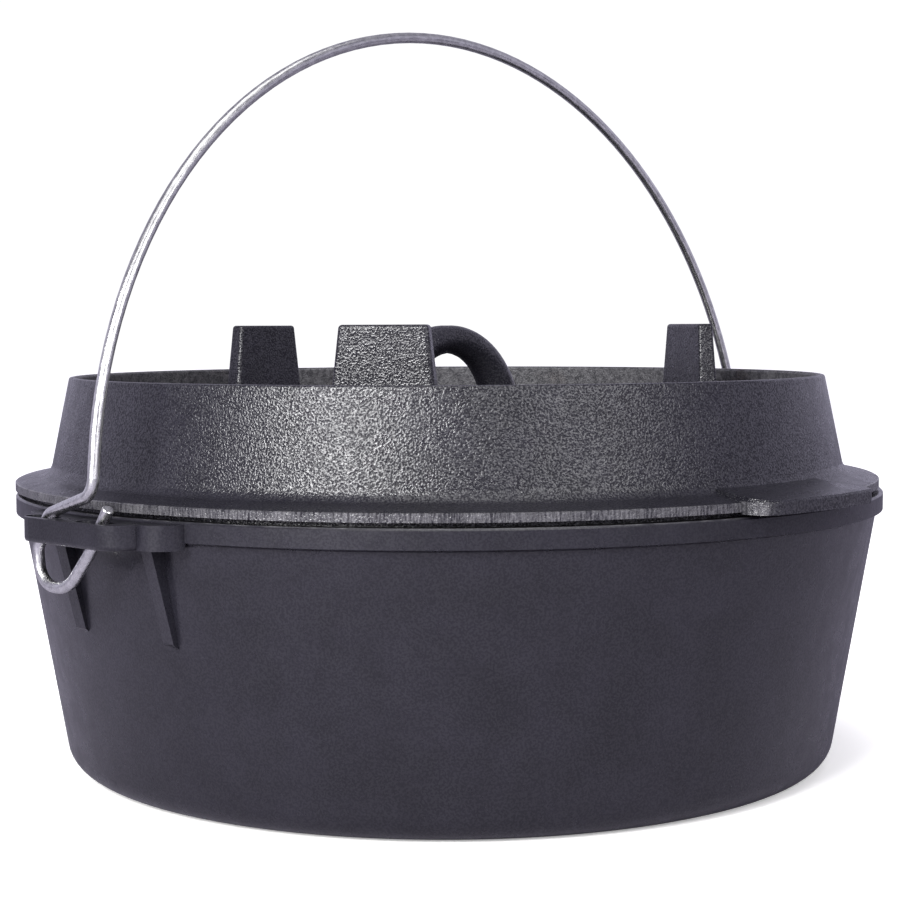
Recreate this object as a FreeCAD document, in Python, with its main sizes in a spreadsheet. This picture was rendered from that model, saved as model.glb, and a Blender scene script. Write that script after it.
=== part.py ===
import FreeCAD, Part
import math
import os
import Sketcher

# Cast iron dutch oven: a flat-based pot with two slotted ears, a lid with a charcoal ring, three
# feet and a loop handle, and one bent wire bail.  Millimetres, +Z up.  The origin is the middle of
# the pot's flat base; the ears lie on the X axis and the lid's lifting tab points along -Y.

DIMENSIONS = [
    # pot
    ("base_radius", 146.8, "radius of the foot where wall and base would meet"),
    ("wall_taper", 0.1733, "outward lean of the wall per unit height"),
    ("wall_thick", 5.2, "pot wall"),
    ("base_thick", 5.6, "pot floor"),
    ("base_round", 10.0, "outer fillet round the foot"),
    ("floor_round", 12.0, "inner fillet round the floor"),
    ("band_bottom", 96.0, "underside of the rim band"),
    ("band_bevel", 0.9, "height of the sloping underside of the band"),
    ("rim_radius", 166.0, "outside of the rim band"),
    ("rim_top", 103.6, "top of the rim"),
    ("edge_break", 0.7, "small chamfer on cast edges"),
    # ears and their ribs
    ("ear_top", 102.8, "top face of an ear"),
    ("ear_bottom", 94.5, "underside of an ear"),
    ("ear_reach", 181.5, "outer edge of an ear from the axis"),
    ("ear_straight", 18.5, "half length of the straight outer edge"),
    ("ear_corner", 10.2, "round corner of an ear"),
    ("ear_neck_reach", 172.0, "where the corner turns into the neck fillet"),
    ("ear_neck_half", 28.0, "half width of the ear at the neck"),
    ("ear_neck_fillet", 10.8, "hollow fillet between ear and rim"),
    ("ear_root_reach", 161.2, "where the hollow fillet meets the rim"),
    ("ear_root_half", 38.8, "half width of the ear at the rim"),
    ("ear_buried", 161.0, "radius of the ear's hollow inner end, inside the wall"),
    ("ear_round", 1.5, "round lower edge of an ear"),
    ("eye_reach", 176.0, "bail wire from the axis, at the slots"),
    ("slot_width", 6.2, "radial width of a slot"),
    ("slot_round", 2.9, "corner radius of a slot"),
    ("far_slot_start", 9.8, "slot on the +Y side, near end"),
    ("far_slot_end", 25.8, "slot on the +Y side, far end"),
    ("near_slot_start", 2.8, "slot on the -Y side, near end"),
    ("near_slot_end", 19.4, "slot on the -Y side, far end"),
    ("rib_spacing", 24.3, "each rib from the middle of the ear"),
    ("rib_thick", 5.5, "rib thickness"),
    ("rib_top_reach", 166.2, "outer edge of a rib under the ear"),
    ("rib_tip_reach", 157.2, "outer edge of a rib at its tip"),
    ("rib_tip_level", 62.4, "height of the rib tip"),
    # lid
    ("flange_radius", 165.3, "outside of the lid flange"),
    ("flange_bottom", 105.3, "underside of the flange edge"),
    ("flange_top", 108.4, "top of the flange edge"),
    ("seat_gap", 0.05, "lid seat above the rim"),
    ("seat_radius", 161.6, "outside of the seat land"),
    ("skirt_radius", 157.2, "outside of the locating skirt"),
    ("skirt_depth", 4.0, "skirt below the rim top"),
    ("skirt_thick", 5.0, "skirt wall"),
    ("ring_foot_radius", 152.4, "ring outside where it leaves the flange"),
    ("ring_foot_level", 110.9, "height of that corner"),
    ("ring_root_fillet", 5.0, "hollow fillet at the foot of the ring"),
    ("ring_top_radius", 145.0, "ring outside at its top"),
    ("ring_top", 146.7, "top of the charcoal ring"),
    ("ring_thick", 3.6, "ring wall at its top"),
    ("ring_tray_radius", 143.4, "inside of the ring at the tray floor"),
    ("ring_edge_round", 0.9, "round on the ring's top edges"),
    ("tray_level", 129.6, "tray floor at the ring"),
    ("tray_crown", 131.2, "tray floor at the middle"),
    ("lid_thick", 5.0, "thickness of the tray floor"),
    ("lid_wall_inner", 146.4, "inside of the lid wall at its foot"),
    ("lid_wall_foot", 112.0, "height of that corner"),
    ("lid_wall_head", 141.0, "inside of the lid wall under the tray"),
    # lifting tab
    ("tab_reach", 174.8, "outer edge of the tab from the axis"),
    ("tab_bottom", 104.6, "underside of the tab"),
    ("tab_edge_top", 109.4, "top of the tab at its outer edge"),
    ("tab_root_top", 111.6, "top of the tab at the ring"),
    ("tab_root_reach", 155.0, "inner end of the tab's sloping top"),
    ("tab_span", 22.0, "angle that the tab takes, degrees"),
    ("tab_corner", 9.0, "round corner of the tab towards -X"),
    ("tab_small_corner", 4.0, "round corner of the tab towards +X"),
    # the lid lies a little off the middle, within its clearance in the rim
    ("lid_shift_x", -0.6, "lid from the pot axis along X"),
    ("lid_shift_y", 0.6, "lid from the pot axis along Y"),
    # feet
    ("foot_circle", 104.4, "middle of each foot from the axis"),
    ("foot_turn", 2.5, "first foot past the +Y axis, degrees"),
    ("foot_base_width", 39.4, "foot width at the tray"),
    ("foot_top_width", 31.0, "foot width at its top"),
    ("foot_base_thick", 8.6, "foot thickness at the tray"),
    ("foot_top_thick", 6.2, "foot thickness at its top"),
    ("foot_top", 166.0, "height of the feet"),
    ("foot_root", 127.5, "start of the feet, inside the tray floor"),
    ("foot_round", 1.4, "round edges of the feet"),
    # loop handle
    ("grip_radius", 5.4, "radius of the round bar at the top of the loop"),
    ("grip_foot_radius", 8.3, "radius of the bar at its foot"),
    ("grip_arch", 30.5, "radius of the bar's half-circle arch"),
    ("grip_centre", 129.8, "height of the arch centre"),
    ("grip_root", 127.5, "bottom of the bar, inside the tray floor"),
    ("grip_flare", 3.2, "hollow fillet where the bar meets the tray"),
    ("grip_flare_bury", 0.6, "how far that fillet's upper edge runs into the bar"),
    ("grip_foot_level", 130.8, "height of that fillet's foot"),
    # bail
    ("wire_radius", 2.0, "radius of the bail wire"),
    ("arch_radius", 177.5, "radius of the bail arch"),
    ("arch_centre", 99.1, "height of the arch centre"),
    ("arch_half_angle", 82.0, "arch from its top down to each leg, degrees"),
    ("arch_offset", 13.3, "arch from the ear axis towards -Y, at its centre"),
    ("arch_lean", 5.0, "lean of the arch towards +Y, degrees"),
]

doc = FreeCAD.newDocument("DutchOven")
sheet = doc.addObject("Spreadsheet::Sheet", "Dims")
for row, (alias, value, note) in enumerate(DIMENSIONS, start=1):
    sheet.set("A%d" % row, note)
    sheet.set("B%d" % row, str(value))
    sheet.setAlias("B%d" % row, alias)
doc.recompute()


def size(alias):
    """Plain number held in the sheet under this alias."""
    return float(sheet.get(alias))


def value_of(expression):
    """Number that an expression over the sheet gives, for a sketch's starting geometry."""
    result = sheet.evalExpression(expression)
    return float(getattr(result, "Value", result))


def origin_plane(body, role):
    return next(f for f in body.Origin.OriginFeatures if f.Role == role)


def new_sketch(body, name, role, lift=None):
    """Sketch on one of the body's own origin planes, moved along the plane's normal by lift."""
    sketch = body.newObject("Sketcher::SketchObject", name)
    sketch.AttachmentSupport = [(origin_plane(body, role), "")]
    sketch.MapMode = "FlatFace"
    if lift is not None:
        sketch.setExpression("AttachmentOffset.Base.z", lift)
    return sketch


def pin(sketch, geometry, end, x, y):
    """Fix one end of a curve at (x, y), both expressions, measured from the sketch origin."""
    for kind, axis, expression in (("DistanceX", -2, x), ("DistanceY", -1, y)):
        number = value_of(expression)
        if abs(number) < 1e-9:
            sketch.addConstraint(Sketcher.Constraint("PointOnObject", geometry, end, axis))
        else:
            index = sketch.addConstraint(
                Sketcher.Constraint(kind, -1, 1, geometry, end, number))
            sketch.setExpression("Constraints[%d]" % index, expression)


def outline(sketch, nodes, closed=True):
    """Chain of lines and arcs.  Each node is (x, y) or (x, y, radius, side), all expressions but
    side: the curve that leaves the node is an arc of that radius, with its centre on the left of
    the chord for side +1 and on the right for side -1."""
    points = [FreeCAD.Vector(value_of(n[0]), value_of(n[1]), 0) for n in nodes]
    last = len(nodes) if closed else len(nodes) - 1
    ends = []
    for i in range(last):
        start, finish = points[i], points[(i + 1) % len(nodes)]
        if len(nodes[i]) == 2:
            g = sketch.addGeometry(Part.LineSegment(start, finish), False)
            ends.append((g, 1, 2))
            continue
        radius, side = value_of(nodes[i][2]), nodes[i][3]
        chord = finish - start
        left = FreeCAD.Vector(-chord.y, chord.x, 0).normalize()
        rise = math.sqrt(max(radius ** 2 - (chord.Length / 2) ** 2, 0))
        centre = (start + finish) * 0.5 + left * (side * rise)
        a0 = math.atan2(start.y - centre.y, start.x - centre.x)
        a1 = math.atan2(finish.y - centre.y, finish.x - centre.x)
        if side < 0:
            a0, a1 = a1, a0
        if a1 < a0:
            a1 += 2 * math.pi
        circle = Part.Circle(centre, FreeCAD.Vector(0, 0, 1), radius)
        g = sketch.addGeometry(Part.ArcOfCircle(circle, a0, a1), False)
        ends.append((g, 1, 2) if side > 0 else (g, 2, 1))
    for i, (g, first, second) in enumerate(ends):
        pin(sketch, g, first, nodes[i][0], nodes[i][1])
        if i + 1 < len(ends) or closed:
            nxt = ends[(i + 1) % len(ends)]
            sketch.addConstraint(Sketcher.Constraint("Coincident", g, second, nxt[0], nxt[1]))
        else:
            pin(sketch, g, second, nodes[-1][0], nodes[-1][1])
    for i, (g, first, second) in enumerate(ends):
        if len(nodes[i]) == 4:
            index = sketch.addConstraint(
                Sketcher.Constraint("Radius", g, value_of(nodes[i][2])))
            sketch.setExpression("Constraints[%d]" % index, nodes[i][2])
    return sketch


def round_box(x0, x1, y0, y1, radius):
    """Nodes of a rectangle with round corners, x0 < x1 and y0 < y1, anticlockwise."""
    r = radius
    return [
        ("%s + %s" % (x0, r), y0), ("%s - %s" % (x1, r), y0, r, 1),
        (x1, "%s + %s" % (y0, r)), (x1, "%s - %s" % (y1, r), r, 1),
        ("%s - %s" % (x1, r), y1), ("%s + %s" % (x0, r), y1, r, 1),
        (x0, "%s - %s" % (y1, r)), (x0, "%s + %s" % (y0, r), r, 1),
    ]


def circle_edges(shape, radius, level, tolerance=0.3):
    """Names of the circular edges of this radius whose centre is on Z at this level."""
    found = []
    for i, edge in enumerate(shape.Edges, start=1):
        curve = edge.Curve
        if isinstance(curve, Part.Circle) and abs(curve.Radius - radius) < tolerance \
                and abs(curve.Center.z - level) < tolerance \
                and math.hypot(curve.Center.x, curve.Center.y) < tolerance:
            found.append("Edge%d" % i)
    return found


def dress(body, kind, name, edges, amount):
    """Fillet or chamfer on named edges of the body's tip; amount is an expression."""
    if not edges:
        raise RuntimeError("%s found no edge to work on" % name)
    feature = body.newObject("PartDesign::" + kind, name)
    feature.Base = (body.Tip if body.Tip != feature else feature.BaseFeature, edges)
    feature.setExpression("Radius" if kind == "Fillet" else "Size", amount)
    body.Tip = feature
    doc.recompute()
    return feature


def mirrored(body, name, originals, role):
    feature = body.newObject("PartDesign::Mirrored", name)
    feature.Originals = originals
    feature.MirrorPlane = (origin_plane(body, role), [""])
    body.Tip = feature
    doc.recompute()
    return feature


# ---------------------------------------------------------------- pot
pot = doc.addObject("PartDesign::Body", "Pot")
pot.Label = "pot"

WALL_AT = "Dims.base_radius + Dims.wall_taper * (%s)"
pot_section = outline(new_sketch(pot, "PotSection", "XZ_Plane"), [
    ("0", "0"),
    ("Dims.base_radius", "0"),
    (WALL_AT % "Dims.band_bottom", "Dims.band_bottom"),
    ("Dims.rim_radius", "Dims.band_bottom + Dims.band_bevel"),
    ("Dims.rim_radius", "Dims.rim_top - Dims.edge_break"),
    ("Dims.rim_radius - Dims.edge_break", "Dims.rim_top"),
    (WALL_AT % "Dims.rim_top" + " - Dims.wall_thick + Dims.edge_break", "Dims.rim_top"),
    (WALL_AT % "Dims.rim_top" + " - Dims.wall_thick", "Dims.rim_top - Dims.edge_break"),
    (WALL_AT % "Dims.base_thick" + " - Dims.wall_thick", "Dims.base_thick"),
    ("0", "Dims.base_thick"),
])
shell = pot.newObject("PartDesign::Revolution", "PotShell")
shell.Profile = pot_section
shell.ReferenceAxis = (pot_section, ["V_Axis"])
shell.Angle = 360
pot.Tip = shell
doc.recompute()

dress(pot, "Fillet", "FootRound",
      circle_edges(pot.Shape, size("base_radius"), 0), "Dims.base_round")
floor_radius = size("base_radius") + size("wall_taper") * size("base_thick") - size("wall_thick")
dress(pot, "Fillet", "FloorRound",
      circle_edges(pot.Shape, floor_radius, size("base_thick")), "Dims.floor_round")

# Ear on the -X side: a flat lug that leaves the rim through hollow fillets.  Its inner end is an
# arc round the pot's axis, so that it stays inside the wall.
EAR_INNER_X = "-sqrt(Dims.ear_buried ^ 2 - Dims.ear_neck_half ^ 2)"
ear_outline = outline(new_sketch(pot, "EarOutline", "XY_Plane", "Dims.ear_bottom"), [
    (EAR_INNER_X, "Dims.ear_neck_half"),
    ("-Dims.ear_root_reach", "Dims.ear_root_half", "Dims.ear_neck_fillet", 1),
    ("-Dims.ear_neck_reach", "Dims.ear_neck_half", "Dims.ear_corner", 1),
    ("-Dims.ear_reach", "Dims.ear_straight"),
    ("-Dims.ear_reach", "-Dims.ear_straight", "Dims.ear_corner", 1),
    ("-Dims.ear_neck_reach", "-Dims.ear_neck_half", "Dims.ear_neck_fillet", 1),
    ("-Dims.ear_root_reach", "-Dims.ear_root_half"),
    (EAR_INNER_X, "-Dims.ear_neck_half", "Dims.ear_buried", -1),
])
ear = pot.newObject("PartDesign::Pad", "Ear")
ear.Profile = ear_outline
ear.setExpression("Length", "Dims.ear_top - Dims.ear_bottom")
pot.Tip = ear
doc.recompute()

# Two slots through the ear, one each side of a solid web that carries the bail's eye.
slot_cuts = []
for name, start, end in (("FarSlot", "Dims.far_slot_start", "Dims.far_slot_end"),
                         ("NearSlot", "-Dims.near_slot_end", "-Dims.near_slot_start")):
    slot = outline(new_sketch(pot, name + "Outline", "XY_Plane", "Dims.ear_top"),
                   round_box("-Dims.eye_reach - Dims.slot_width / 2",
                             "-Dims.eye_reach + Dims.slot_width / 2",
                             start, end, "Dims.slot_round"))
    before = pot.Shape.Volume
    cut = pot.newObject("PartDesign::Pocket", name)
    cut.Profile = slot
    cut.setExpression("Length", "Dims.ear_top - Dims.ear_bottom + 2")
    pot.Tip = cut
    doc.recompute()
    if pot.Shape.Volume > before - 100:
        raise RuntimeError(name + " removed nothing")
    slot_cuts.append(cut)

# Two gusset ribs under the ear, blunt at their lower tips.
ribs = []
for name, side in (("NearRib", "Dims.rib_spacing"), ("FarRib", "-Dims.rib_spacing")):
    profile = outline(new_sketch(pot, name + "Outline", "XZ_Plane", side), [
        ("-Dims.rib_top_reach", "Dims.ear_bottom + 1"),
        ("-Dims.rib_tip_reach", "Dims.rib_tip_level"),
        ("-Dims.rib_tip_reach + 2.4", "Dims.rib_tip_level - 2"),
        ("-Dims.rib_tip_reach + 4.6", "Dims.rib_tip_level"),
        ("-Dims.rib_top_reach + 9.5", "Dims.ear_bottom + 1"),
    ])
    rib = pot.newObject("PartDesign::Pad", name)
    rib.Profile = profile
    rib.setExpression("Length", "Dims.rib_thick")
    rib.Midplane = True
    pot.Tip = rib
    doc.recompute()
    ribs.append(rib)

# The +X ear, its slots and ribs are the mirror image.
mirrored(pot, "OtherEar", [ear] + slot_cuts + ribs, "YZ_Plane")

# Lower outer edges of both ears, straight edge and corners: those at the ear's underside that lie
# past the neck, without the edges of the slots.
slot_limit = size("eye_reach") + size("slot_width") / 2 + 0.1
lug_edges = []
for i, edge in enumerate(pot.Shape.Edges, start=1):
    points = [v.Point for v in edge.Vertexes]
    level = all(abs(p.z - size("ear_bottom")) < 0.01 for p in points)
    past_neck = all(abs(p.x) > size("ear_neck_reach") - 0.1 for p in points)
    in_slot = all(abs(p.x) < slot_limit and abs(p.y) < size("far_slot_end") + 0.1 for p in points)
    if level and past_neck and not in_slot:
        lug_edges.append("Edge%d" % i)
dress(pot, "Fillet", "EarRounds", lug_edges, "Dims.ear_round")

# ---------------------------------------------------------------- lid
lid = doc.addObject("PartDesign::Body", "Lid")
lid.Label = "lid"

lid_section = outline(new_sketch(lid, "LidSection", "XZ_Plane"), [
    ("0", "Dims.tray_crown"),
    ("0", "Dims.tray_crown - Dims.lid_thick"),
    ("Dims.lid_wall_head", "Dims.tray_level - Dims.lid_thick"),
    ("Dims.lid_wall_inner", "Dims.lid_wall_foot"),
    ("Dims.skirt_radius - Dims.skirt_thick", "Dims.rim_top"),
    ("Dims.skirt_radius - Dims.skirt_thick", "Dims.rim_top - Dims.skirt_depth"),
    ("Dims.skirt_radius", "Dims.rim_top - Dims.skirt_depth"),
    ("Dims.skirt_radius", "Dims.rim_top + Dims.seat_gap"),
    ("Dims.seat_radius", "Dims.rim_top + Dims.seat_gap"),
    ("Dims.seat_radius", "Dims.flange_bottom"),
    ("Dims.flange_radius", "Dims.flange_bottom"),
    ("Dims.flange_radius", "Dims.flange_top - Dims.edge_break / 2"),
    ("Dims.flange_radius - Dims.edge_break", "Dims.flange_top"),
    ("Dims.ring_foot_radius", "Dims.ring_foot_level"),
    ("Dims.ring_top_radius", "Dims.ring_top"),
    ("Dims.ring_top_radius - Dims.ring_thick", "Dims.ring_top"),
    ("Dims.ring_tray_radius", "Dims.tray_level"),
])
plate = lid.newObject("PartDesign::Revolution", "LidPlate")
plate.Profile = lid_section
plate.ReferenceAxis = (lid_section, ["V_Axis"])
plate.Angle = 360
lid.Tip = plate
doc.recompute()

dress(lid, "Fillet", "RingRoot",
      circle_edges(lid.Shape, size("ring_foot_radius"), size("ring_foot_level")),
      "Dims.ring_root_fillet")
dress(lid, "Fillet", "RingEdge",
      circle_edges(lid.Shape, size("ring_top_radius"), size("ring_top"))
      + circle_edges(lid.Shape, size("ring_top_radius") - size("ring_thick"), size("ring_top")),
      "Dims.ring_edge_round")

# Lifting tab on the -Y side: a raised sector of the flange that reaches past the rim.
tab_section = outline(new_sketch(lid, "TabSection", "YZ_Plane"), [
    ("-Dims.tab_root_reach + 3", "Dims.flange_bottom + 1"),
    ("-Dims.tab_root_reach + 3", "Dims.tab_root_top + 0.6"),
    ("-Dims.tab_root_reach", "Dims.tab_root_top"),
    ("-Dims.tab_reach + Dims.edge_break", "Dims.tab_edge_top"),
    ("-Dims.tab_reach", "Dims.tab_edge_top - Dims.edge_break"),
    ("-Dims.tab_reach", "Dims.tab_bottom"),
    ("-Dims.seat_radius", "Dims.tab_bottom"),
    ("-Dims.seat_radius", "Dims.flange_bottom + 1"),
])
tab = lid.newObject("PartDesign::Revolution", "LiftingTab")
tab.Profile = tab_section
tab.ReferenceAxis = (tab_section, ["V_Axis"])
tab.setExpression("Angle", "Dims.tab_span")
tab.Midplane = True
lid.Tip = tab
doc.recompute()

for name, way, corner in (("TabCorner", -1, "Dims.tab_corner"),
                          ("TabSmallCorner", 1, "Dims.tab_small_corner")):
    upright = []
    for i, edge in enumerate(lid.Shape.Edges, start=1):
        ends = [v.Point for v in edge.Vertexes]
        if len(ends) == 2 and abs(ends[0].z - ends[1].z) > 3 and all(
                abs(math.hypot(p.x, p.y) - size("tab_reach")) < 0.2 and p.x * way > 5
                for p in ends):
            upright.append("Edge%d" % i)
    dress(lid, "Fillet", name, upright, corner)

# Three feet: upright plates, wider at the tray, so that the lid also stands upside down.
foot_sketches = []
for name, level, width, thick in (
        ("FootBase", "Dims.foot_root", "Dims.foot_base_width", "Dims.foot_base_thick"),
        ("FootTop", "Dims.foot_top", "Dims.foot_top_width", "Dims.foot_top_thick")):
    half, y0, y1 = width + " / 2", "Dims.foot_circle - %s / 2" % thick, \
        "Dims.foot_circle + %s / 2" % thick
    foot_sketches.append(outline(new_sketch(lid, name, "XY_Plane", level), [
        ("-" + half, y0), (half, y0), (half, y1), ("-" + half, y1)]))
    foot_sketches[-1].setExpression("AttachmentOffset.Rotation.Angle", "Dims.foot_turn")
    foot_sketches[-1].AttachmentOffset = FreeCAD.Placement(
        FreeCAD.Vector(0, 0, value_of(level)),
        FreeCAD.Rotation(FreeCAD.Vector(0, 0, 1), size("foot_turn")))
    foot_sketches[-1].setExpression("AttachmentOffset.Base.z", level)
doc.recompute()
foot = lid.newObject("PartDesign::AdditiveLoft", "Foot")
foot.Profile = foot_sketches[0]
foot.Sections = [foot_sketches[1]]
foot.Ruled = True
lid.Tip = foot
doc.recompute()
feet = lid.newObject("PartDesign::PolarPattern", "Feet")
feet.Originals = [foot]
feet.Axis = (plate.Profile[0], ["V_Axis"])
feet.Angle = 360
feet.Occurrences = 3
lid.Tip = feet
doc.recompute()

# Loop handle: half of a round bar arch that thickens from the top of the loop down into the tray.
grip_path = outline(new_sketch(lid, "GripPath", "XZ_Plane"), [
    ("0", "Dims.grip_centre + Dims.grip_arch", "Dims.grip_arch", -1),
    ("Dims.grip_arch", "Dims.grip_centre"),
    ("Dims.grip_arch", "Dims.grip_root"),
], closed=False)
grip_rounds = []
for name, plane, lift, x, y, radius in (
        ("GripTop", "YZ_Plane", None, "0", "Dims.grip_centre + Dims.grip_arch", "Dims.grip_radius"),
        ("GripBase", "XY_Plane", "Dims.grip_root", "Dims.grip_arch", "0", "Dims.grip_foot_radius")):
    grip_round = new_sketch(lid, name, plane, lift)
    ring = grip_round.addGeometry(Part.Circle(
        FreeCAD.Vector(value_of(x), value_of(y), 0), FreeCAD.Vector(0, 0, 1), value_of(radius)), False)
    pin(grip_round, ring, 3, x, y)
    index = grip_round.addConstraint(Sketcher.Constraint("Radius", ring, value_of(radius)))
    grip_round.setExpression("Constraints[%d]" % index, radius)
    grip_rounds.append(grip_round)
doc.recompute()
grip = lid.newObject("PartDesign::AdditivePipe", "GripHalf")
grip.Profile = grip_rounds[0]
grip.Sections = [grip_rounds[1]]
grip.Transformation = "Multisection"
grip.Spine = grip_path
lid.Tip = grip
doc.recompute()

# Hollow flare round the bar's foot.  Its upper edge ends just inside the bar.
FLARE_INSIDE = "Dims.grip_arch + Dims.grip_foot_radius - Dims.grip_flare_bury"
root_section = new_sketch(lid, "GripFlareSection", "XZ_Plane")
outline(root_section, [
    ("Dims.grip_arch", "Dims.grip_root"),
    (FLARE_INSIDE + " + Dims.grip_flare", "Dims.grip_root"),
    (FLARE_INSIDE + " + Dims.grip_flare", "Dims.grip_foot_level", "Dims.grip_flare", -1),
    (FLARE_INSIDE, "Dims.grip_foot_level + Dims.grip_flare"),
    ("Dims.grip_arch", "Dims.grip_foot_level + Dims.grip_flare"),
])
bar_axis = root_section.addGeometry(Part.LineSegment(
    FreeCAD.Vector(size("grip_arch"), 0, 0),
    FreeCAD.Vector(size("grip_arch"), size("grip_root"), 0)), True)
pin(root_section, bar_axis, 1, "Dims.grip_arch", "0")
pin(root_section, bar_axis, 2, "Dims.grip_arch", "Dims.grip_root")
flare = lid.newObject("PartDesign::Revolution", "GripFlare")
flare.Profile = root_section
flare.ReferenceAxis = (root_section, ["Axis0"])
flare.Angle = 360
lid.Tip = flare
doc.recompute()
mirrored(lid, "Grip", [grip, flare], "YZ_Plane")
foot_edges = []
for i, edge in enumerate(lid.Shape.Edges, start=1):
    ends = [v.Point for v in edge.Vertexes]
    if len(ends) == 2 and all(80 < math.hypot(p.x, p.y) < 125 for p in ends) \
            and max(p.z for p in ends) > size("foot_top") - 0.1:
        foot_edges.append("Edge%d" % i)
dress(lid, "Fillet", "FootRounds", foot_edges, "Dims.foot_round")

# ---------------------------------------------------------------- bail
# One wire: cut end, up through the near slot, round under the web, up through the far slot,
# across to the leg, over the arch, and the same again on the other ear.


def bent_run(points, radii):
    """Edges of straight runs joined by tangent arcs; radii holds one value per inner point."""
    edges, here = [], points[0]
    for before, corner, after, radius in zip(points, points[1:], points[2:], radii):
        back, ahead = (before - corner).normalize(), (after - corner).normalize()
        half_turn = (math.pi - back.getAngle(ahead)) / 2
        setback = radius * math.tan(half_turn)
        first, second = corner + back * setback, corner + ahead * setback
        middle = corner + (back + ahead).normalize() * (radius / math.cos(half_turn) - radius)
        edges.append(Part.LineSegment(here, first).toShape())
        edges.append(Part.Arc(first, middle, second).toShape())
        here = second
    edges.append(Part.LineSegment(here, points[-1]).toShape())
    return edges


lean = math.radians(size("arch_lean"))
arch_origin = FreeCAD.Vector(0, -size("arch_offset"), size("arch_centre"))
arch_up = FreeCAD.Vector(0, math.sin(lean), math.cos(lean))
arch_out = FreeCAD.Vector(-1, 0, 0)


def arch_point(angle):
    """Point of the arch, the angle in radians from its top towards -X."""
    return arch_origin + (arch_out * math.sin(angle) + arch_up * math.cos(angle)) \
        * size("arch_radius")


half_angle = math.radians(size("arch_half_angle"))
leg_start = arch_point(half_angle)
leg_way = arch_out * math.cos(half_angle) - arch_up * math.sin(half_angle)
eye_x = -size("eye_reach")
eye_points = [
    leg_start,
    leg_start + leg_way * 12.0,
    FreeCAD.Vector(eye_x, 14.6, 103.9),
    FreeCAD.Vector(eye_x, 21.2, 91.8),
    FreeCAD.Vector(eye_x, 19.8, 79.8),
    FreeCAD.Vector(eye_x, 4.2, 79.6),
    FreeCAD.Vector(eye_x, -8.6, 92.9),
    FreeCAD.Vector(eye_x, -18.6, 107.6),
]
eye_radii = [6.0, 6.0, 6.0, 8.5, 14.0, 30.0]
near_eye = bent_run(eye_points, eye_radii)
far_points = [FreeCAD.Vector(-p.x, p.y, p.z) for p in eye_points]
far_eye = bent_run(far_points, eye_radii)
crown = Part.Arc(leg_start, arch_point(0), far_points[0]).toShape()
wire_path = Part.Wire(Part.__sortEdges__(near_eye + [crown] + far_eye))

tip, before_tip = eye_points[-1], eye_points[-2]
section = Part.Wire([Part.Circle(tip, tip - before_tip, size("wire_radius")).toShape()])
wire_solid = wire_path.makePipeShell([section], True, False)
cut_edges = [e for e in wire_solid.Edges
             if isinstance(e.Curve, Part.Circle)
             and (e.Curve.Center - FreeCAD.Vector(abs(tip.x) * (1 if e.Curve.Center.x > 0 else -1),
                                                  tip.y, tip.z)).Length < 0.01]
wire_solid = wire_solid.makeChamfer(0.35, cut_edges)
expected = math.pi * size("wire_radius") ** 2 * wire_path.Length
print("bail wire %.0f mm long, volume %.0f, section x length %.0f"
      % (wire_path.Length, wire_solid.Volume, expected))
if abs(wire_solid.Volume / expected - 1) > 0.01:
    raise RuntimeError("bail sweep has the wrong volume")

bail = doc.addObject("Part::Feature", "Bail")
bail.Label = "bail"
bail.Shape = wire_solid
bail.Placement = FreeCAD.Placement()
lid.Placement = FreeCAD.Placement(
    FreeCAD.Vector(size("lid_shift_x"), size("lid_shift_y"), 0), FreeCAD.Rotation())

# ---------------------------------------------------------------- checks and export
doc.recompute()
for obj in doc.Objects:
    if "Invalid" in obj.State or "Error" in obj.State:
        raise RuntimeError("%s failed: %s" % (obj.Label, obj.State))

os.makedirs("parts", exist_ok=True)
for sub_part in (pot, lid, bail):
    shape = sub_part.Shape
    if shape.isNull() or not shape.isValid() or len(shape.Solids) != 1:
        raise RuntimeError("%s is not one sound solid" % sub_part.Label)
    shape.exportStep("parts/%s.step" % sub_part.Label)
    box = shape.BoundBox
    print("%-6s volume %9.0f mm3  x %.1f..%.1f  y %.1f..%.1f  z %.1f..%.1f"
          % (sub_part.Label, shape.Volume, box.XMin, box.XMax, box.YMin, box.YMax,
             box.ZMin, box.ZMax))
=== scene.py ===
import math

import bpy
from mathutils import Matrix, Vector


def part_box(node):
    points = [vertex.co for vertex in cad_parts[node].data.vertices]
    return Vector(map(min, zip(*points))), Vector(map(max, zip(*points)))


# Looks of the cast iron dutch oven: as-cast iron with an orange-peel skin, a ground flange edge, a
# bright wire bail and a pale studio.  Lengths are metres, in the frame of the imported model.

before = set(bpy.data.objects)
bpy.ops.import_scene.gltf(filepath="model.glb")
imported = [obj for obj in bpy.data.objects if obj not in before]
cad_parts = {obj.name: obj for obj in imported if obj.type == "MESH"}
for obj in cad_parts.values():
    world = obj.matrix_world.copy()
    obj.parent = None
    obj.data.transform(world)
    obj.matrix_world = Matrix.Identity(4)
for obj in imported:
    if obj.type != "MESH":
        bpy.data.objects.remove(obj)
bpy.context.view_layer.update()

MM = 0.001
RIM_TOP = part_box("pot")[1].z
BAIL_LOW, BAIL_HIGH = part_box("bail")

# Places where a finish starts or stops.  The rim's radius is from the pot's axis, and the flange's and
# the ring's are from the lid's, which stands a little off it.
RIM_RADIUS = 166.0 * MM
FLANGE_RADIUS = 165.3 * MM
FLANGE_TOP = 108.4 * MM
FLANGE_UNDERSIDE = 105.3 * MM
RING_INSIDE = 143.4 * MM
TRAY_LEVEL = 129.6 * MM
LID_CENTRE_X = -0.6 * MM
LID_CENTRE_Y = 0.6 * MM

# ---------------------------------------------------------------- node graphs


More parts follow.
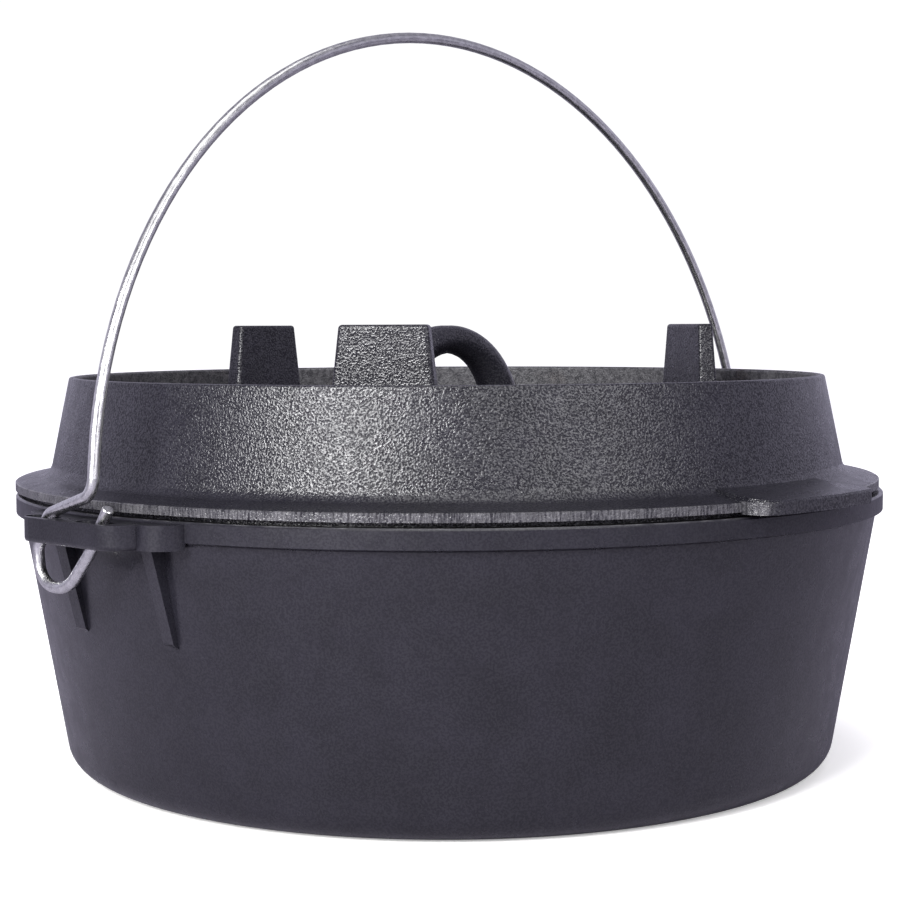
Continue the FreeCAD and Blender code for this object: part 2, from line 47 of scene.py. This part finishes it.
class Graph:
    """Short names for building a node tree; sockets go in and sockets come out."""

    def __init__(self, tree):
        self.tree = tree
        tree.nodes.clear()

    def add(self, kind, inputs=None, **settings):
        node = self.tree.nodes.new(kind)
        for key, value in settings.items():
            setattr(node, key, value)
        for key, value in (inputs or {}).items():
            if isinstance(value, bpy.types.NodeSocket):
                self.tree.links.new(value, node.inputs[key])
            else:
                node.inputs[key].default_value = value
        return node

    def math(self, operation, a, b=0.0):
        return self.add("ShaderNodeMath", {0: a, 1: b}, operation=operation).outputs[0]

    def plus(self, *terms):
        total = terms[0]
        for term in terms[1:]:
            total = self.math("ADD", total, term)
        return total

    def times(self, a, b):
        return self.math("MULTIPLY", a, b)

    def step(self, value, low, high, out_low=0.0, out_high=1.0):
        """Smooth ramp: out_low where value is at low, out_high where it is at high.  Low may be the
        larger of the two, for a ramp that falls."""
        return self.add("ShaderNodeMapRange", {
            "Value": value, "From Min": low, "From Max": high, "To Min": out_low,
            "To Max": out_high}, interpolation_type="SMOOTHSTEP").outputs["Result"]

    def noise(self, vector, size, detail=2.0, roughness=0.5):
        """Noise whose features are about size metres across, from 0 to 1."""
        return self.add("ShaderNodeTexNoise", {
            "Vector": vector, "Scale": 1.0 / size, "Detail": detail,
            "Roughness": roughness}).outputs[0]

    def dots(self, vector, size, radius, share):
        """Sparse round dots: cells of size metres, a share of which hold a dot of that radius."""
        cells = self.add("ShaderNodeTexVoronoi", {"Vector": vector, "Scale": 1.0 / size})
        chosen = self.math("LESS_THAN", self.add(
            "ShaderNodeSeparateColor", {"Color": cells.outputs["Color"]}).outputs[0], share)
        inside = self.step(cells.outputs["Distance"], 0.0, radius / size, 1, 0)
        return self.times(inside, chosen)

    def mix(self, factor, a, b):
        node = self.add("ShaderNodeMix", data_type="RGBA")
        for key, value in (("Factor", factor), ("A", a), ("B", b)):
            socket = next(s for s in node.inputs if s.name == key and s.enabled)
            if isinstance(value, bpy.types.NodeSocket):
                self.tree.links.new(value, socket)
            else:
                socket.default_value = value if key == "Factor" else (*value, 1.0)
        return next(s for s in node.outputs if s.enabled)

    def vector(self, x, y, z):
        return self.add("ShaderNodeCombineXYZ", {"X": x, "Y": y, "Z": z}).outputs[0]


def object_space(graph, centre_x=0.0, centre_y=0.0):
    """Object coordinates as a vector; x and y from the centre, z, and the distance from it."""
    vector = graph.add("ShaderNodeTexCoord").outputs["Object"]
    parts = graph.add("ShaderNodeSeparateXYZ", {0: vector}).outputs
    x = graph.plus(parts[0], -centre_x)
    y = graph.plus(parts[1], -centre_y)
    radius = graph.math("SQRT", graph.plus(graph.times(x, x), graph.times(y, y)))
    return vector, x, y, parts[2], radius


def finish_material(graph, height, sockets, constants):
    """Principled shader with a bump of height metres; constants sit on the shader itself."""
    bump = graph.add("ShaderNodeBump", {"Strength": 1.0, "Distance": 1.0, "Height": height})
    shader = graph.add("ShaderNodeBsdfPrincipled", {**sockets, "Normal": bump.outputs[0]})
    for name, value in constants.items():
        shader.inputs[name].default_value = value
    graph.add("ShaderNodeOutputMaterial", {"Surface": shader.outputs[0]})


def new_material(name):
    material = bpy.data.materials.new(name)
    material.use_nodes = True
    return material, Graph(material.node_tree)


def give(node, material):
    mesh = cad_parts[node].data
    mesh.materials.clear()
    mesh.materials.append(material)


# ---------------------------------------------------------------- cast iron

IRON_DARK = (0.0075, 0.0072, 0.0100)
IRON_LIGHT = (0.0120, 0.0114, 0.0160)
GROUND_IRON = (0.105, 0.103, 0.108)
RUST_BROWN = (0.050, 0.032, 0.022)
# painted shade: the black that stands for the shadow in the gap under the lid's flange
GAP_SHADE_BLACK = (0.0015, 0.0015, 0.0018)

# relief that every cast face has: how far across each kind of mark is, and how high or deep
SWELL_SIZE = 26 * MM
SWELL_HEIGHT = 0.06 * MM
FINE_SIZE = 0.5 * MM
FINE_SHARE_OF_PEEL = 0.12
PIT_CELL = 5.2 * MM
PIT_RADIUS = 0.55 * MM
PIT_DEPTH = 0.05 * MM
SPECK_CELL = 2.6 * MM
SPECK_RADIUS = 0.42 * MM
SPECK_HEIGHT = 0.08 * MM

# the shader's specular level between the bumps and the hollows, and how far glitter swings it
SHINE_MIDDLE = 0.5
SHINE_SWING = 0.45
# roughness that a pit adds, and that the ground inside of the ring adds
PIT_DULLNESS = 0.25
DRESSED_DULLNESS = 0.25

# the orange-peel bumps are shallow on the pot's wall and deep on the lid
POT_PEEL = {"peel": 0.035 * MM, "peel_size": 0.75 * MM, "glitter": 0.2}
LID_PEEL = {"peel": 0.29 * MM, "peel_size": 0.70 * MM, "glitter": 0.70}

# middle of the rough ground spot on the lifting tab's edge, near the tab's -X end
ROUGH_SPOT = (-36.0 * MM, -170.0 * MM, 107.0 * MM)


def iron_skin(graph, vector, peel, peel_size, glitter):
    """Height in metres of as-cast, oil-blacked iron, and the sockets for its colour, roughness and
    shine.  The peel is the height of the orange-peel bumps, peel_size their width, and glitter how
    much duller the hollows are than the bumps."""
    swell = graph.noise(vector, SWELL_SIZE)
    grain = graph.noise(vector, peel_size, detail=1.5)
    fine = graph.noise(vector, FINE_SIZE, detail=1.0)
    pits = graph.dots(vector, PIT_CELL, PIT_RADIUS, share=0.14)
    specks = graph.dots(vector, SPECK_CELL, SPECK_RADIUS, share=0.16)
    height = graph.plus(
        graph.times(swell, SWELL_HEIGHT),
        graph.times(grain, peel),
        graph.times(fine, peel * FINE_SHARE_OF_PEEL),
        graph.times(pits, -PIT_DEPTH),
        graph.times(specks, SPECK_HEIGHT))
    cloud = graph.noise(vector, 22 * MM, detail=6.0, roughness=0.68)
    colour = graph.mix(graph.step(cloud, 0.30, 0.72), IRON_DARK, IRON_LIGHT)
    streak = graph.noise(vector, 7 * MM, detail=3.0)
    oiled = graph.step(streak, 0.3, 0.7, out_low=0.26, out_high=0.34)
    roughness = graph.plus(oiled, graph.times(pits, PIT_DULLNESS))
    swing = SHINE_SWING * glitter
    shine = graph.step(grain, 0.40, 0.60, out_low=SHINE_MIDDLE - swing, out_high=SHINE_MIDDLE + swing)
    return height, colour, roughness, shine


def iron_material(graph, height, colour, roughness, shine):
    sockets = {"Base Color": colour, "Roughness": roughness, "Specular IOR Level": shine}
    finish_material(graph, height, sockets, {"Metallic": 0.0, "IOR": 1.5})


def pot_material():
    material, graph = new_material("cast_iron_pot")
    vector, x, y, z, radius = object_space(graph)
    height, colour, roughness, shine = iron_skin(graph, vector, **POT_PEEL)
    # the rim's top is ground level, with fine marks round it; the ears are not ground
    on_top = graph.step(z, RIM_TOP - 0.5 * MM, RIM_TOP - 0.1 * MM)
    ground = graph.times(on_top, graph.step(radius, RIM_RADIUS + 0.8 * MM, RIM_RADIUS + 0.4 * MM))
    angle = graph.math("ARCTAN2", y, x)
    along_marks = graph.times(angle, 20 * MM)
    marks = graph.noise(graph.vector(along_marks, radius, 0.0), 0.7 * MM)
    worn = graph.times(ground, graph.step(marks, 0.45, 0.75, out_low=0.1, out_high=0.7))
    colour = graph.mix(worn, colour, GROUND_IRON)
    height = graph.plus(height, graph.times(graph.times(marks, ground), 0.02 * MM))
    # painted shade: the rim's top under the lid's flange is painted black, the shadow of the gap there
    painted_gap_shade = graph.times(graph.step(radius, FLANGE_RADIUS - 0.1 * MM, FLANGE_RADIUS - 1.3 * MM),
                          graph.step(z, RIM_TOP - 0.5 * MM, RIM_TOP - 0.1 * MM))
    colour = graph.mix(painted_gap_shade, colour, GAP_SHADE_BLACK)
    iron_material(graph, height, colour, roughness, shine)
    return material


def lid_material():
    material, graph = new_material("cast_iron_lid")
    vector, x, y, z, radius = object_space(graph, LID_CENTRE_X, LID_CENTRE_Y)
    height, colour, roughness, shine = iron_skin(graph, vector, **LID_PEEL)
    # the flange's edge face is ground across, which leaves upright marks
    face_radius = FLANGE_RADIUS - 0.3 * MM
    edge = graph.times(graph.step(radius, FLANGE_RADIUS - 0.8 * MM, face_radius),
                       graph.step(z, FLANGE_TOP + 0.6 * MM, FLANGE_TOP))
    angle = graph.math("ARCTAN2", y, x)
    around = graph.times(angle, face_radius)
    along_marks = graph.times(z, 0.12)
    marks = graph.noise(graph.vector(around, 0.0, along_marks), 0.8 * MM, detail=2.5, roughness=0.65)
    patches = graph.noise(graph.vector(around, 0.0, 0.0), 11 * MM)
    # on the tab's edge only one rough spot is ground, and the rest keeps its black skin
    spot = graph.add("ShaderNodeVectorMath", {0: vector, 1: ROUGH_SPOT},
                     operation="DISTANCE").outputs["Value"]
    off_tab = graph.step(radius, FLANGE_RADIUS + 0.9 * MM, FLANGE_RADIUS + 2.2 * MM,
                         out_low=1, out_high=0.10)
    rough_spot = graph.times(graph.step(spot, 9.5 * MM, 5.0 * MM),
                             graph.step(radius, FLANGE_RADIUS + 1.2 * MM, FLANGE_RADIUS + 2.2 * MM))
    share = graph.math("MAXIMUM", off_tab, rough_spot)
    bare = graph.times(graph.times(edge, share),
                       graph.step(graph.plus(marks, graph.times(patches, 0.5)), 0.55, 0.95))
    colour = graph.mix(bare, colour, GROUND_IRON)
    chips = graph.noise(vector, 1.6 * MM, detail=3.0, roughness=0.7)
    chipped = graph.times(chips, rough_spot)
    height = graph.plus(height, graph.times(graph.times(marks, edge), 0.12 * MM),
                        graph.times(chipped, 0.9 * MM))
    # the ring's inside is dressed with a grinder: paler, with a brown bloom in places
    inside_ring = graph.step(radius, RING_INSIDE, RING_INSIDE - 1.0 * MM)
    on_wall = graph.times(graph.step(z, TRAY_LEVEL + 0.9 * MM, TRAY_LEVEL + 2.4 * MM),
                          graph.step(radius, RING_INSIDE - 4.9 * MM, RING_INSIDE - 4.4 * MM))
    inside = graph.times(inside_ring, on_wall)
    rub = graph.noise(vector, 2.2 * MM, detail=3.0, roughness=0.7)
    bloom = graph.step(graph.noise(vector, 21 * MM), 0.52, 0.68)
    inside_colour = graph.mix(graph.times(bloom, rub), GROUND_IRON, RUST_BROWN)
    dressed = graph.times(inside, graph.step(rub, 0.3, 0.7, out_low=0.15, out_high=0.80))
    colour = graph.mix(dressed, colour, inside_colour)
    roughness = graph.plus(roughness, graph.times(inside, DRESSED_DULLNESS))
    # painted shade: the lid's seat under the flange is painted black, the shadow of the gap over the
    # rim
    painted_gap_shade = graph.times(graph.step(radius, FLANGE_RADIUS + 0.1 * MM, FLANGE_RADIUS - 0.9 * MM),
                          graph.step(z, FLANGE_UNDERSIDE + 0.3 * MM, FLANGE_UNDERSIDE))
    colour = graph.mix(painted_gap_shade, colour, GAP_SHADE_BLACK)
    iron_material(graph, height, colour, roughness, shine)
    return material


# ---------------------------------------------------------------- steel wire

WIRE_RADIUS = 2 * MM
ARCH_LEAN = math.radians(5)
STEEL_DULL = (0.50, 0.50, 0.495)
STEEL_BRIGHT = (0.66, 0.66, 0.65)


def wire_material():
    material, graph = new_material("steel_wire")
    vector, x, y, z, _ = object_space(graph)
    # streaks drawn along the wire: coordinates across the arch's section change fast, along it slowly
    arch_radius = (BAIL_HIGH.x - BAIL_LOW.x) / 2 - WIRE_RADIUS
    arch_level = BAIL_HIGH.z - arch_radius
    rise = graph.math("SUBTRACT", z, arch_level)
    reach = graph.math("SQRT", graph.plus(graph.times(x, x), graph.times(rise, rise)))
    turn = graph.math("ARCTAN2", x, rise)
    lean = graph.math("SUBTRACT", y, graph.times(rise, math.tan(ARCH_LEAN)))
    drawn = graph.vector(reach, lean, graph.times(turn, 12 * MM))
    streaks = graph.noise(drawn, 0.6 * MM, roughness=0.6)
    spots = graph.noise(vector, 2.4 * MM, detail=3.0)
    height = graph.plus(graph.times(streaks, 0.085 * MM), graph.times(spots, 0.006 * MM))
    colour = graph.mix(graph.step(spots, 0.35, 0.7), STEEL_DULL, STEEL_BRIGHT)
    roughness = graph.step(streaks, 0.3, 0.7, out_low=0.24, out_high=0.36)
    finish_material(graph, height, {"Base Color": colour, "Roughness": roughness},
                    {"Metallic": 1.0})
    return material


give("pot", pot_material())
give("lid", lid_material())
give("bail", wire_material())

# ---------------------------------------------------------------- camera

# half-way from the front to the left, level with the tops of the lid's feet, looking slightly down
CAMERA_AZIMUTH = math.radians(-46.0)
CAMERA_DISTANCE = 0.740
CAMERA_HEIGHT = 0.165101
CAMERA_PITCH = 0.065
CAMERA_ROLL = -0.004
CAMERA_LENS = 75.611
CAMERA_SENSOR = 36.0
CAMERA_SHIFT = 0.00067
CAMERA_NEAR = 0.01
CAMERA_FAR = 50.0

TOWARDS_CAMERA = Vector((math.sin(CAMERA_AZIMUTH), -math.cos(CAMERA_AZIMUTH), 0))
CAMERA_RIGHT = Vector((math.cos(CAMERA_AZIMUTH), math.sin(CAMERA_AZIMUTH), 0))
UP = Vector((0, 0, 1))


def make_camera():
    forward = -TOWARDS_CAMERA * math.cos(CAMERA_PITCH) - UP * math.sin(CAMERA_PITCH)
    right = forward.cross(UP).normalized()
    up = right.cross(forward)
    rolled_right = right * math.cos(CAMERA_ROLL) + up * math.sin(CAMERA_ROLL)
    rolled_up = up * math.cos(CAMERA_ROLL) - right * math.sin(CAMERA_ROLL)
    data = bpy.data.cameras.new("camera")
    data.lens = CAMERA_LENS
    data.sensor_width = CAMERA_SENSOR
    data.shift_x = CAMERA_SHIFT
    data.clip_start = CAMERA_NEAR
    data.clip_end = CAMERA_FAR
    camera = bpy.data.objects.new("camera", data)
    bpy.context.scene.collection.objects.link(camera)
    place = TOWARDS_CAMERA * CAMERA_DISTANCE + UP * CAMERA_HEIGHT
    camera.matrix_world = Matrix((
        (rolled_right.x, rolled_up.x, -forward.x, place.x),
        (rolled_right.y, rolled_up.y, -forward.y, place.y),
        (rolled_right.z, rolled_up.z, -forward.z, place.z),
        (0, 0, 0, 1)))
    bpy.context.scene.camera = camera


# ---------------------------------------------------------------- studio

WHITE = (1, 1, 1, 1)
SURROUND_TINT = (0.90, 0.86, 1.10, 1)
SURROUND_SEEN = 1.05
FLOOR_COLOUR = (0.93, 0.92, 0.90, 1)
FLOOR_BOUNCE = (0.38, 0.36, 0.43, 1)
FLOOR_ROUGHNESS = 0.75
FLOOR_REACH = 6.0
FLOOR_DROP = 0.2 * MM
# the floor's own glow is less under the pot, so that the pot's shadow shows there
SHADE_RADIUS = 0.15
GLOW_RADIUS = 0.21
GLOW_UNDER_POT = 0.35
GLOW_AROUND = 0.80
LIGHT_TARGET = Vector((0, 0, 0.11))


def seen_or_lit(graph, lit, seen):
    """The camera sees one shader, and everything else is lit by the other."""
    camera_ray = graph.add("ShaderNodeLightPath").outputs["Is Camera Ray"]
    return graph.add("ShaderNodeMixShader", {0: camera_ray, 1: lit.outputs[0],
                                             2: seen.outputs[0]}).outputs[0]


def make_world():
    """Soft studio surround: bright behind the object and low down, dimmer in front and overhead."""
    world = bpy.data.worlds.new("studio")
    world.use_nodes = True
    bpy.context.scene.world = world
    graph = Graph(world.node_tree)
    direction = graph.add("ShaderNodeTexCoord").outputs["Generated"]
    behind = graph.add("ShaderNodeVectorMath", {0: direction, 1: -TOWARDS_CAMERA},
                       operation="DOT_PRODUCT").outputs["Value"]
    height = graph.add("ShaderNodeSeparateXYZ", {0: direction}).outputs[2]
    strength = graph.times(graph.step(behind, -0.4, 0.75, out_low=0.55, out_high=0.80),
                           graph.step(height, 0.1, 0.8, out_low=1.0, out_high=0.45))
    lit = graph.add("ShaderNodeBackground", {"Color": SURROUND_TINT, "Strength": strength})
    seen = graph.add("ShaderNodeBackground", {"Color": WHITE, "Strength": SURROUND_SEEN})
    graph.add("ShaderNodeOutputWorld", {"Surface": seen_or_lit(graph, lit, seen)})


def area_light(name, azimuth, elevation, distance, width, height, power):
    """White softbox aimed at the lid; azimuth is to the camera's right, both angles in degrees."""
    side = math.radians(azimuth)
    lift = math.radians(elevation)
    level_way = TOWARDS_CAMERA * math.cos(side) + CAMERA_RIGHT * math.sin(side)
    way = level_way * math.cos(lift) + UP * math.sin(lift)
    data = bpy.data.lights.new(name, "AREA")
    data.shape = "RECTANGLE"
    data.size = width
    data.size_y = height
    data.energy = power
    light = bpy.data.objects.new(name, data)
    bpy.context.scene.collection.objects.link(light)
    light.location = LIGHT_TARGET + way * distance
    light.rotation_mode = "QUATERNION"
    light.rotation_quaternion = (-way).to_track_quat("-Z", "Y")
    light.visible_camera = False


def make_floor():
    """Studio floor: white to the eye, darker in the pot's shade, with a dim bounce of light."""
    mesh = bpy.data.meshes.new("floor")
    corners = [(-FLOOR_REACH, -FLOOR_REACH, 0), (FLOOR_REACH, -FLOOR_REACH, 0),
               (FLOOR_REACH, FLOOR_REACH, 0), (-FLOOR_REACH, FLOOR_REACH, 0)]
    mesh.from_pydata(corners, [], [(0, 1, 2, 3)])
    floor = bpy.data.objects.new("floor", mesh)
    bpy.context.scene.collection.objects.link(floor)
    floor.location.z = -FLOOR_DROP
    material, graph = new_material("floor")
    vector = graph.add("ShaderNodeTexCoord").outputs["Object"]
    away = graph.add("ShaderNodeVectorMath", {0: vector}, operation="LENGTH").outputs["Value"]
    glow = graph.step(away, SHADE_RADIUS, GLOW_RADIUS, GLOW_UNDER_POT, GLOW_AROUND)
    seen = graph.add("ShaderNodeBsdfPrincipled", {
        "Base Color": FLOOR_COLOUR, "Roughness": FLOOR_ROUGHNESS, "Emission Color": WHITE,
        "Emission Strength": glow})
    bounced = graph.add("ShaderNodeBsdfDiffuse", {"Color": FLOOR_BOUNCE})
    graph.add("ShaderNodeOutputMaterial", {"Surface": seen_or_lit(graph, bounced, seen)})
    mesh.materials.append(material)


make_camera()
make_world()
make_floor()
area_light("key_softbox", azimuth=-30, elevation=26, distance=1.3, width=0.56, height=0.60, power=27)
area_light("right_softbox", azimuth=38, elevation=27, distance=1.3, width=0.75, height=0.62, power=7)
area_light("top_fill", azimuth=20, elevation=75, distance=1.6, width=1.2, height=1.2, power=10)
bpy.context.scene.view_settings.view_transform = "Standard"
